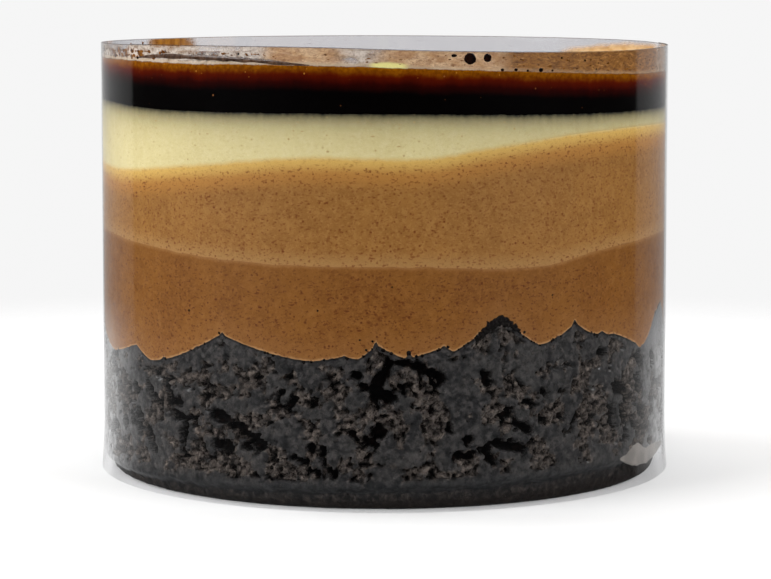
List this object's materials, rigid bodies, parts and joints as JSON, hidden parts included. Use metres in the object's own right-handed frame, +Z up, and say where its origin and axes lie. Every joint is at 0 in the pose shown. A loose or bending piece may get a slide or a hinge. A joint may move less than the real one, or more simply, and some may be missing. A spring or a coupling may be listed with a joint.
{
  "type": "layered mousse cake",
  "caption": "Round chilled cake of dark sponge crumb, dark, milk and white chocolate mousse and a dark glaze, wrapped in a clear collar strip.",
  "frame": {"origin": "middle of the cake's underside, on the surface it stands on", "axes": "+Z up through the layers, -Y towards the front of the picture, +X to the viewer's right"},
  "size_m": [0.0808, 0.0808, 0.0603],
  "materials": {
    "crumb": "moist dark chocolate sponge crumb, slate grey where it is pressed on the strip",
    "dark_mousse": "soft satin mousse with fine dark specks",
    "milk_mousse": "soft satin mousse with fine dark specks",
    "white_mousse": "soft satin ivory mousse, golden where it meets the layer below",
    "glaze": "glossy dark glaze, amber at its thin upper edge",
    "clear_film": "thin clear glossy film"
  },
  "bodies": {
    "root": {"cake_base": "crumb", "dark_mousse": "dark_mousse", "milk_mousse": "milk_mousse", "white_mousse": "white_mousse", "chocolate_glaze": "glaze", "acetate_collar": "clear_film"}
  },
  "joints": []
}
